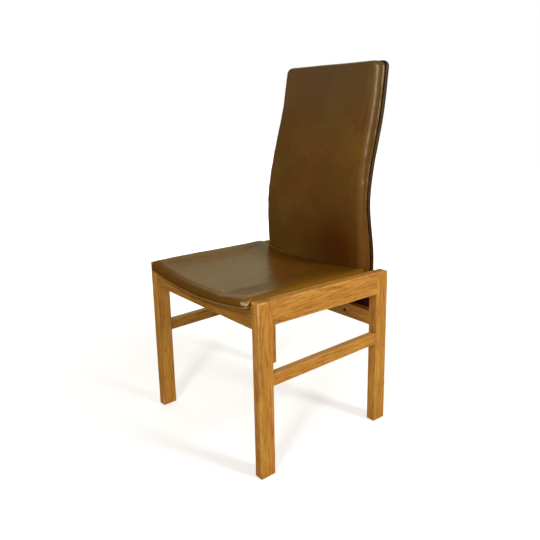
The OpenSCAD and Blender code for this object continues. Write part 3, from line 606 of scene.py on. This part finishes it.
def ply(name, base):
    """Moulded beech plywood: fine flecks on the faces and thin layers on the edges."""
    material, tree, shader, place = new_material(name)
    fleck = drawn_noise(tree, place, FLECK_SCALES, detail=2.0)
    cloud = drawn_noise(tree, place, PLY_CLOUD_SCALES, detail=3.0)
    layer = calc(tree, "MULTIPLY", split(tree, place)[2], 2 * math.pi / LAYER_PITCH)
    level = calc(tree, "ABSOLUTE", split(tree, true_normal(tree))[2])
    edge = remap(tree, level, *LAYER_EDGE)
    layers = calc(tree, "MULTIPLY", calc(tree, "SINE", layer), edge)
    tone = calc(tree, "MULTIPLY", cloud, PLY_CLOUD_TONE)
    tone = calc(tree, "MULTIPLY_ADD", fleck, FLECK_TONE, tone)
    tone = calc(tree, "MULTIPLY_ADD", layers, LAYER_TONE, tone, clamp=True)
    colour = mix(tree, tone, *(shade(base, factor) for factor in PLY_SHADES))
    roughness = calc(tree, "MULTIPLY_ADD", fleck, FLECK_ROUGH, PLY_ROUGH)
    normal = bump(tree, fleck, FLECK_DEPTH, FLECK_BUMP)
    join(tree, shader, Base_Color=colour, Roughness=roughness, Normal=normal)
    return material


def clean_copy(nodes):
    """One bmesh with the shapes of CAD nodes, their split vertices joined again."""
    bm = bmesh.new()
    for node in nodes:
        bm.from_mesh(NODES[node].data)
    bmesh.ops.remove_doubles(bm, verts=bm.verts, dist=1e-5)
    return bm


def mesh_of(name, nodes):
    """A new mesh with the shapes of CAD nodes."""
    bm = clean_copy(nodes)
    mesh = bpy.data.meshes.new(name)
    bm.to_mesh(mesh)
    bm.free()
    return mesh


def mesh_from(name, points, faces):
    """A new mesh from points and the faces between them."""
    mesh = bpy.data.meshes.new(name)
    mesh.from_pydata([tuple(p) for p in points], [], faces)
    mesh.update()
    return mesh


def shade_smooth(mesh):
    """Rounds the shading over a mesh's edges."""
    for polygon in mesh.polygons:
        polygon.use_smooth = True


def object_of(name, mesh, material):
    """A new piece, smooth-shaded, on the one body of the chair."""
    obj = bpy.data.objects.new(name, mesh)
    bpy.context.scene.collection.objects.link(obj)
    mesh.materials.clear()
    mesh.materials.append(material)
    shade_smooth(mesh)
    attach(obj, "root")
    return obj


def settled(obj):
    """The mesh of an object with its modifiers carried out."""
    deps = bpy.context.evaluated_depsgraph_get()
    return bpy.data.meshes.new_from_object(obj.evaluated_get(deps), depsgraph=deps)


def bake_modifiers(obj):
    """Puts the result of an object's modifiers in place of its mesh."""
    mesh = settled(obj)
    obj.modifiers.clear()
    old, obj.data = obj.data, mesh
    bpy.data.meshes.remove(old)
    shade_smooth(mesh)


def add_detail(obj, levels=1):
    """Subdivides an object's mesh into a smooth one."""
    sub = obj.modifiers.new("soft", "SUBSURF")
    sub.levels = sub.render_levels = levels
    bake_modifiers(obj)


def vertex_rows(mesh, key):
    """A vector of each vertex as rows of an array."""
    values = np.zeros(len(mesh.vertices) * 3)
    mesh.vertices.foreach_get(key, values)
    return values.reshape(-1, 3)


def coords(mesh):
    """The places of a mesh's vertices."""
    return vertex_rows(mesh, "co")


def normals(mesh):
    """The outward directions at a mesh's vertices."""
    return vertex_rows(mesh, "normal")


def set_coords(mesh, values):
    """Moves a mesh's vertices to new places."""
    mesh.vertices.foreach_set("co", values.ravel())
    mesh.update()


def keep_outer_skin(bm):
    """Drops all but the largest connected skin."""
    left = set(bm.verts)
    groups = []
    while left:
        seed = left.pop()
        group, edge = {seed}, [seed]
        while edge:
            for e in edge.pop().link_edges:
                for v in e.verts:
                    if v in left:
                        left.discard(v)
                        group.add(v)
                        edge.append(v)
        groups.append(group)
    groups.sort(key=len)
    bmesh.ops.delete(bm, geom=[v for g in groups[:-1] for v in g], context="VERTS")


def relax(mesh, rounds, share=0.5):
    """Evens out a mesh: each point moves a share of the way to the middle of its neighbours."""
    ends = np.zeros(len(mesh.edges) * 2, dtype=np.int64)
    mesh.edges.foreach_get("vertices", ends)
    ends = ends.reshape(-1, 2)
    count = np.bincount(ends.ravel(), minlength=len(mesh.vertices))[:, None]
    place = coords(mesh)
    for _ in range(rounds):
        total = np.zeros_like(place)
        np.add.at(total, ends[:, 0], place[ends[:, 1]])
        np.add.at(total, ends[:, 1], place[ends[:, 0]])
        place += (total / count - place) * share
    set_coords(mesh, place)


def draw_to_solids(mesh, nodes):
    """Evens out a mesh and moves its points straight onto the outermost faces of CAD nodes."""
    bm = clean_copy(nodes)
    tree = BVHTree.FromBMesh(bm)
    bm.free()
    for _ in range(FIT_ROUNDS):
        relax(mesh, FIT_RELAX)
        place, out = coords(mesh), normals(mesh)
        for i, (p, n) in enumerate(zip(place, out)):
            hit = tree.ray_cast(Vector(p + n * PAD_REACH), Vector(-n), 2 * PAD_REACH)[0]
            if hit is not None:
                place[i] = hit
        set_coords(mesh, place)


def even_skin(name, nodes):
    """One closed skin of even quads round CAD nodes, ready to be puffed."""
    obj = bpy.data.objects.new(name, mesh_of(name, nodes))
    bpy.context.scene.collection.objects.link(obj)
    remesh = obj.modifiers.new("even", "REMESH")
    remesh.mode = "VOXEL"
    remesh.voxel_size = PAD_VOXEL
    result = settled(obj)
    bpy.data.objects.remove(obj)
    bm = bmesh.new()
    bm.from_mesh(result)
    keep_outer_skin(bm)
    bm.to_mesh(result)
    bm.free()
    draw_to_solids(result, nodes)
    return result


def puff(obj, held, cap):
    """Blows a skin up as cloth, with some vertices held.

    No point sinks in or moves further than cap, in metres.
    """
    start, out = coords(obj.data), normals(obj.data)
    group = obj.vertex_groups.new(name="held")
    for index, weight in enumerate(held):
        if weight > 0:
            group.add([index], float(weight), "REPLACE")
    cloth = obj.modifiers.new("puff", "CLOTH")
    for key, value in CLOTH.items():
        setattr(cloth.settings, key, value)
    cloth.settings.effector_weights.gravity = 0
    cloth.collision_settings.use_self_collision = False
    cloth.point_cache.frame_start, cloth.point_cache.frame_end = 1, PUFF_FRAMES
    for number in range(1, PUFF_FRAMES + 1):
        bpy.context.scene.frame_set(number)
    result = settled(obj)
    move = coords(result) - start
    bpy.data.meshes.remove(result)
    obj.modifiers.clear()
    obj.vertex_groups.clear()
    bpy.context.scene.frame_set(1)
    swell = np.sum(move * out, axis=1, keepdims=True)
    move = out * np.maximum(swell, 0) + (move - out * swell) * PUFF_SLIDE
    length = np.linalg.norm(move, axis=1, keepdims=True) + 1e-12
    move *= cap * np.tanh(length / cap) / length
    set_coords(obj.data, start + move)
    relax(obj.data, 1, PUFF_RELAX)


def line_slope(line, i):
    """The slope of a line's smooth curve at a control point, level at the first."""
    if i == 0:
        return 0.0
    a, b = line[i - 1], line[min(i + 1, len(line) - 1)]
    return (b[1] - a[1]) / (b[0] - a[0])


def smooth_at(line, z):
    """The smooth curve through a line's control points, straight below the first."""
    if z < line[0][0]:
        return line[0][1]
    i = 0
    while i < len(line) - 2 and z > line[i + 1][0]:
        i += 1
    a, b = line[i], line[i + 1]
    span = b[0] - a[0]
    t = (z - a[0]) / span
    m0, m1 = line_slope(line, i) * span, line_slope(line, i + 1) * span
    return (
        a[1] * (2 * t**3 - 3 * t * t + 1) + m0 * (t**3 - 2 * t * t + t)
        + b[1] * (3 * t * t - 2 * t**3) + m1 * (t**3 - t * t)
    )


def ease(value, low, high):
    """Smooth step from 0 at low to 1 at high; low may be the larger one."""
    t = min(max((value - low) / (high - low), 0.0), 1.0)
    return t * t * (3 - 2 * t)


def back_lean(z):
    """The slope of the back line at a height in millimetres, over one millimetre."""
    return smooth_at(BACK_LINE, z + 0.5) - smooth_at(BACK_LINE, z - 0.5)


def back_point(x, z, out):
    """A point over the back line in metres, from millimetres across, up and to the sitter."""
    lean = back_lean(z)
    long = math.hypot(1, lean)
    y = smooth_at(BACK_LINE, z) - out / long - MID_Y
    return Vector((x, y, z + out * lean / long)) * MM


def back_out(p):
    """Distance in millimetres of a point from the back line, towards the sitter."""
    y, z = p[1] / MM + MID_Y, p[2] / MM
    return (smooth_at(BACK_LINE, z) - y) / math.hypot(1, back_lean(z))


def seat_up(p):
    """Height in millimetres of a point over the pad's base, square to the dish."""
    y, z = p[1] / MM + MID_Y, p[2] / MM - SEAT_Z
    across = p[0] / MM
    up = z * math.cos(TILT) + y * math.sin(TILT)
    return DISH_R - math.hypot(across, DISH_R - up) - SEAT_SHELL_T - SEAT_PAD_GAP


def quarter_turn(steps):
    """The sine and cosine at even steps through a quarter turn."""
    angles = [math.pi / 2 * i / steps for i in range(steps + 1)]
    return [(math.sin(a), math.cos(a)) for a in angles]


def shell_outline(inset):
    """The back shell's outline as (x, z) in millimetres, inset all round.

    It runs up the right half and then down its mirror image.
    """
    far_r = max(SHELL_CORNER_R - SHELL_IN - inset, SHELL_LEAST_R)
    near_r = max(SHELL_FOOT_R - SHELL_IN - inset, SHELL_LEAST_R)
    z0, z1 = BACK_FOOT + inset, BACK_TOP - inset
    near_z, far_z = z0 + near_r, z1 - far_r
    near_x = smooth_at(WIDTH_LINE, near_z) - SHELL_IN - inset - near_r
    far_x = smooth_at(WIDTH_LINE, far_z) - SHELL_IN - inset - far_r
    bend = quarter_turn(BEND_STEPS)
    half = [(near_x * (i + 0.5) / END_STEPS, z0) for i in range(END_STEPS)]
    half += [(near_x + near_r * sine, near_z - near_r * cosine) for sine, cosine in bend]
    for i in range(1, SIDE_STEPS):
        z = near_z + (far_z - near_z) * i / SIDE_STEPS
        half.append((smooth_at(WIDTH_LINE, z) - SHELL_IN - inset, z))
    half += [(far_x + far_r * cosine, far_z + far_r * sine) for sine, cosine in bend]
    half += [(far_x * (i + 0.5) / END_STEPS, z1) for i in reversed(range(END_STEPS))]
    return half + [(-x, z) for x, z in reversed(half)]


def sleeve_section():
    """The sleeve's edge as (inset, out) in millimetres: an arris, the sewn seam, an arris."""
    turn = quarter_turn(ARRIS_STEPS)
    middle = (SLEEVE_FRONT + SLEEVE_REAR) / 2
    front = [
        (SLEEVE_ARRIS * (1 - sine), SLEEVE_FRONT - SLEEVE_ARRIS * (1 - cosine))
        for sine, cosine in turn
    ]
    seam = [(inset, middle + out) for inset, out in SLEEVE_SEAM]
    rear = [
        (SLEEVE_ARRIS * (1 - cosine), SLEEVE_REAR + SLEEVE_ARRIS * (1 - sine))
        for sine, cosine in turn
    ]
    return front + seam + rear


def make_sleeve(material):
    """The leather sleeve over the back shell: rounded edges all round, with a sewn edge seam."""
    rings = []
    for inset, out in sleeve_section():
        rings.append([back_point(x, z, out) for x, z in shell_outline(inset)])
    count = len(rings[0])
    faces = []
    for k in range(len(rings) - 1):
        for i in range(count):
            a, b = k * count + i, k * count + (i + 1) % count
            faces.append((a, b, b + count, a + count))
    last = (len(rings) - 1) * count
    for i in range(count // 2 - 1):
        faces.append((i, count - 1 - i, count - 2 - i, i + 1))
        faces.append((last + i, last + i + 1, last + count - 2 - i, last + count - 1 - i))
    mesh = mesh_from("back_sleeve", [p for ring in rings for p in ring], faces)
    bm = bmesh.new()
    bm.from_mesh(mesh)
    bmesh.ops.recalc_face_normals(bm, faces=bm.faces)
    bm.to_mesh(mesh)
    bm.free()
    sleeve = object_of("back_sleeve", mesh, material)
    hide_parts("back_shell_cover")


def puffed_pad(name, nodes, material, height_of, hold, sink, cap):
    """A leather pad on the form of CAD nodes, blown up with its seam held.

    height_of gives a point's millimetres from the seam. The hold on the points fades out up to
    hold millimetres; the free ones start sunk in by sink and move by up to cap, both in metres.
    """
    mesh = even_skin(name, nodes)
    pad = object_of(name, mesh, material)
    place = coords(mesh)
    height = np.array([height_of(p) for p in place])
    held = np.clip((hold - height) / HOLD_FADE, 0, 1)
    set_coords(mesh, place - normals(mesh) * sink * (1 - held)[:, None])
    puff(pad, held, cap)
    add_detail(pad)
    return pad


def make_seat_pad(material):
    """The seat's pad, in place of its cover and foam."""
    nodes = ["seat_cover", "seat_foam"]
    pad = puffed_pad("seat_pad", nodes, material, seat_up, hold=9.0, sink=0.0006, cap=0.0022)
    shape_seat(pad.data)
    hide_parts("seat_cover", "seat_foam")


def shape_seat(mesh):
    """Waves in the seat's leather, its swollen left and rear sides, and its sat-down right side."""
    place, out = coords(mesh), normals(mesh)
    rear = np.interp(place[:, 0], *zip(*REAR_SWELL))
    for i, p in enumerate(place):
        wave = sum(noise.noise(Vector(p) * scale) * height for scale, height in SEAT_WAVES)
        top = ease(seat_up(p), *SEAT_TOP)
        lift = rear[i] * ease(p[1], *REAR_SWELL_Y)
        if p[0] < 0:
            left = LEFT_SWELL * ease(-p[0], *LEFT_SWELL_X) * ease(p[1], *LEFT_SWELL_Y)
            lift = max(lift, left)
        sag = smooth_at(RIGHT_SAG, p[0] / MM) * MM
        sag *= ease(p[1], *SAG_FRONT_Y) * ease(p[1], *SAG_REAR_Y)
        place[i] = p + out[i] * wave + np.array([0, 0, (lift + sag) * top])
    set_coords(mesh, place)


def make_back_pad(material):
    """The back's pad, in place of its cover and foam."""
    nodes = ["back_front_cover", "back_foam"]
    pad = puffed_pad("back_pad", nodes, material, back_out, hold=8.0, sink=0.0008, cap=0.0030)
    shape_back(pad.data)
    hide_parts("back_front_cover", "back_foam")


def shape_back(mesh):
    """Waves in the back's leather, stronger along its rolled sides, and a ridge at the seam."""
    place, out = coords(mesh), normals(mesh)
    scale, height = BACK_WAVE
    for i, p in enumerate(place):
        side = min(max((abs(p[0]) - RIPPLE_FROM) / RIPPLE_FADE, 0), 1)
        wave = noise.noise(Vector(p) * scale) * height
        ripple = noise.noise(Vector((p[0] * RIPPLE_X, 0, p[2] * RIPPLE_Z))) * SIDE_RIPPLE * side
        place[i] = p + out[i] * (wave + ripple)
    set_coords(mesh, place)
    relax(mesh, BACK_RELAX)
    place, out = coords(mesh), normals(mesh)
    for i, p in enumerate(place):
        depth = back_out(p)
        ridge = RIDGE * math.exp(-((depth - RIDGE_AT) / RIDGE_WIDTH) ** 2)
        ridge -= FURROW * math.exp(-((depth - FURROW_AT) / FURROW_WIDTH) ** 2)
        change = noise.noise(Vector((p[0], 0, p[2] * RIDGE_NOISE))) * RIDGE_CHANGE
        ridge *= abs(out[i][0]) * (1 + change) * MM
        place[i] = p + out[i] * ridge
    set_coords(mesh, place)


def make_from_node(name, node, material, levels=1):
    """A smooth piece on the form of a CAD node."""
    piece = object_of(name, mesh_of(name, [node]), material)
    add_detail(piece, levels)
    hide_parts(node)
    return piece


def make_camera():
    """The camera of the photograph."""
    yaw, pitch, roll = (math.radians(v) for v in (CAMERA_YAW, CAMERA_PITCH, CAMERA_ROLL))
    level = math.cos(pitch)
    forward = Vector((-math.sin(yaw) * level, math.cos(yaw) * level, math.sin(pitch)))
    right = Vector((math.cos(yaw), math.sin(yaw), 0))
    up = right.cross(forward)
    across = right * math.cos(roll) + up * math.sin(roll)
    upward = up * math.cos(roll) - right * math.sin(roll)
    turn = Matrix((across, upward, -forward)).transposed().to_4x4()
    data = bpy.data.cameras.new("camera")
    data.lens, data.sensor_width = CAMERA_LENS, CAMERA_SENSOR
    data.shift_x, data.shift_y = CAMERA_SHIFT
    camera = bpy.data.objects.new("camera", data)
    camera.matrix_world = Matrix.Translation(CAMERA_AT) @ turn
    bpy.context.scene.collection.objects.link(camera)
    bpy.context.scene.camera = camera


def make_lamp(name, place, target, size, power, colour=(1, 1, 1), mirrored=True):
    """A rectangular lamp of some watts; mirrored says whether reflections show it."""
    data = bpy.data.lights.new(name, "AREA")
    data.shape = "RECTANGLE"
    data.size, data.size_y = size
    data.energy = power
    data.color = colour
    lamp = bpy.data.objects.new(name, data)
    lamp.location = place
    lamp.visible_glossy = mirrored
    aim = Vector(target) - Vector(place)
    lamp.rotation_euler = aim.to_track_quat("-Z", "Y").to_euler()
    bpy.context.scene.collection.objects.link(lamp)


def ray_kinds(tree):
    """Two masks: one for rays from the camera or through glass, one for reflections."""
    rays = add(tree, "LightPath").outputs
    direct = calc(tree, "MAXIMUM", rays["Is Camera Ray"], rays["Is Transmission Ray"])
    return direct, rays["Is Glossy Ray"]


def towards(tree, way, target):
    """How far a direction points at a target direction, from -1 to 1."""
    return vector_value(tree, "DOT_PRODUCT", way, tuple(Vector(target).normalized()))


def wall_level(tree, way):
    """The wall's brightness in reflections: full behind the chair above a low skirting."""
    facing = towards(tree, way, WALL_FROM)
    wall = remap(tree, facing, *WALL_RANGE, WALL_LEAST * WALL_SHARE, WALL_SHARE)
    skirting = remap(tree, split(tree, way)[2], *SKIRTING_RANGE, to_low=SKIRTING_LEAST)
    return calc(tree, "MULTIPLY", wall, skirting)


def make_floor():
    """A pale floor that keeps the chair's shadow and fades to white away from it."""
    signs = ((-1, -1), (1, -1), (1, 1), (-1, 1))
    corners = [(x * FLOOR_HALF, y * FLOOR_HALF, 0) for x, y in signs]
    mesh = mesh_from("floor", corners, [(0, 1, 2, 3)])
    material = bpy.data.materials.new("pale_floor")
    material.use_nodes = True
    tree = material.node_tree
    tree.nodes.clear()
    place = add(tree, "TexCoord").outputs["Object"]
    colour = mix(tree, noise_at(tree, place, FLOOR_NOISE), *FLOOR_GREYS)
    matt = add(tree, "BsdfDiffuse", {"Color": colour}).outputs[0]
    away = vector_value(tree, "LENGTH", place)
    level = remap(tree, away, *GLOW_RANGE, to_low=GLOW_LEAST)
    glow = add(tree, "Emission", {"Color": WHITE, "Strength": level}).outputs[0]
    seen = add(tree, "AddShader", {0: matt, 1: glow}).outputs[0]
    direct, glossy = ray_kinds(tree)
    surface = add(tree, "MixShader", {0: direct, 1: matt, 2: seen}).outputs[0]
    way = vector_calc(tree, "NORMALIZE", place)
    wall = {"Color": WALL_COLOUR, "Strength": wall_level(tree, way)}
    mirrored = add(tree, "Emission", wall).outputs[0]
    surface = add(tree, "MixShader", {0: glossy, 1: surface, 2: mirrored}).outputs[0]
    tree.links.new(surface, add(tree, "OutputMaterial").inputs["Surface"])
    mesh.materials.append(material)
    floor = bpy.data.objects.new("floor", mesh)
    bpy.context.scene.collection.objects.link(floor)


def make_world():
    """A white surround for the camera, and a studio that is bright behind and above the chair."""
    world = bpy.data.worlds.new("studio")
    bpy.context.scene.world = world
    world.use_nodes = True
    tree = world.node_tree
    tree.nodes.clear()
    way = add(tree, "TexCoord").outputs["Generated"]
    facing = towards(tree, way, LIGHT_FROM)
    wall = remap(tree, facing, *LIGHT_RANGE, to_low=LIGHT_LEAST)
    ceiling = remap(tree, split(tree, way)[2], *CEILING_RANGE, to_high=CEILING_SHARE)
    level = calc(tree, "MULTIPLY", calc(tree, "MAXIMUM", wall, ceiling), LIGHT_STRENGTH)
    direct, glossy = ray_kinds(tree)
    strength = calc(tree, "MAXIMUM", direct, level)
    tint = mix(tree, direct, LIGHT_TINT, WHITE)
    light = add(tree, "Background", {"Color": tint, "Strength": strength}).outputs[0]
    wall = {"Color": WALL_COLOUR, "Strength": wall_level(tree, way)}
    mirrored = add(tree, "Background", wall).outputs[0]
    light = add(tree, "MixShader", {0: glossy, 1: light, 2: mirrored}).outputs[0]
    tree.links.new(light, add(tree, "OutputWorld").inputs["Surface"])


# The wood of each piece: dark, middle and light colours
OAK = (rgb(130, 76, 22), rgb(186, 125, 44), rgb(216, 159, 70))
# Darker oak: painted shade for the boards in the seat's shadow
OAK_PAINTED_SHADE = (rgb(122, 74, 16), rgb(164, 111, 32), rgb(192, 140, 58))
BEECH = (rgb(176, 138, 96), rgb(204, 168, 122), rgb(222, 190, 146))

# The oak boards, each (node, axis of the grain, slope); the place in the list picks the figure
BOARDS = [
    ("front_leg_right", 2, 0.0),
    ("front_leg_left", 2, 0.0),
    ("rear_leg_right", 2, 0.0),
    ("rear_leg_left", 2, 0.0),
    ("side_rail_right", 1, SLOPE),
    ("side_rail_left", 1, SLOPE),
    ("side_stretcher_right", 1, 0.0),
    ("side_stretcher_left", 1, 0.0),
    ("front_rail", 0, 0.0),
    ("rear_rail", 0, 0.0),
]
# Boards under the seat that get the darker oak as painted shade
PAINTED_SHADE_BOARDS = ("front_rail", "side_stretcher_left")
# How far the arrises are rubbed, their lighter colour partly a painted highlight
ARRIS_RUB_AND_HIGHLIGHT = {"front_leg_right": 1.2, "side_rail_right": 0.8}
OTHER_RUB_AND_HIGHLIGHT = 0.4
# Painted light on the stretchers' top faces
STRETCHER_TOP_LIGHT = 0.6
OAK_SEED, BEECH_SEED = 1, 21


def dress(node, material):
    """Gives a CAD node's own mesh a material."""
    mesh = NODES[node].data
    mesh.materials.clear()
    mesh.materials.append(material)


def dress_wood():
    """Oak for the boards that show, darker as painted shade on those under the seat, beech for the
    hidden ones.
    """
    for seed, (node, grain, slope) in enumerate(BOARDS, OAK_SEED):
        tones = OAK_PAINTED_SHADE if node in PAINTED_SHADE_BOARDS else OAK
        rub_and_highlight = ARRIS_RUB_AND_HIGHLIGHT.get(node, OTHER_RUB_AND_HIGHLIGHT)
        painted_top_light = STRETCHER_TOP_LIGHT if node.startswith("side_stretcher") else 0.0
        oak = wood("oak_" + node, node, grain, tones, seed, rub_and_highlight, slope, painted_top_light=painted_top_light)
        dress(node, oak)
    blocks = sorted(n for n in NODES if n.startswith("corner_block"))
    for seed, node in enumerate(blocks + ["seat_bearer", "dowels"], BEECH_SEED):
        dress(node, wood("beech_" + node, node, 0, BEECH, seed, rub_and_highlight=0.0, ends=BEECH_END_SHARE))


def dress_shells_and_steel():
    """Plywood for the two shells and zinc-plated steel for the bolts and tee nuts."""
    plywood = ply("moulded_ply", PLY_BEECH)
    for node in ("seat_shell", "back_shell"):
        dress(node, plywood)
    steel = metal("zinc_steel", ZINC)
    for node in ("seat_bolts", "seat_tee_nuts", "back_bolts", "back_tee_nuts"):
        dress(node, steel)


def make_soft_pieces():
    """The leather pieces and the dust cover, in place of the CAD's stand-ins."""
    make_seat_pad(leather(
        "seat_leather", OLIVE, roughness=0.28, spots_and_painted_light=SEAT_SPOTS_AND_PAINTED_LIGHT, worn=SEAT_WORN, grain=0.45,
    ))
    make_back_pad(leather("back_leather", BROWN, roughness=0.31, spots_and_painted_light=BACK_PAINTED_LIGHT_AND_SHADE, grain=0.7))
    make_sleeve(leather("trim_leather", OLIVE_DARK, roughness=0.42))
    welt = leather("welt_leather_painted_highlight", WELT_PAINTED_HIGHLIGHT, roughness=0.36)
    make_from_node("seat_piping", "seat_welt", welt)
    strip = leather("strip_leather", STRIP_BROWN, roughness=0.45)
    make_from_node("seat_edge_strip", "seat_edge_band", strip, levels=0)
    cloth = woven("black_cloth", BLACK)
    lining = make_from_node("seat_lining", "seat_dust_cover", cloth, levels=0)


def make_setting():
    """The floor, the surround, the camera and two lamps like windows."""
    make_floor()
    make_world()
    make_camera()
    make_lamp(
        "right_window", (2.98, 0.95, 1.9), target=(0, 0, 0.5), size=(0.7, 1.6), power=59,
        colour=(1.0, 0.97, 0.93),
    )
    make_lamp(
        "front_window", (1.5, -2.6, 1.7), target=(0, 0.2, 0.6), size=(0.5, 1.3), power=37,
        mirrored=False,
    )
    bpy.context.scene.view_settings.view_transform = "Standard"


dress_wood()
dress_shells_and_steel()
make_soft_pieces()
make_setting()
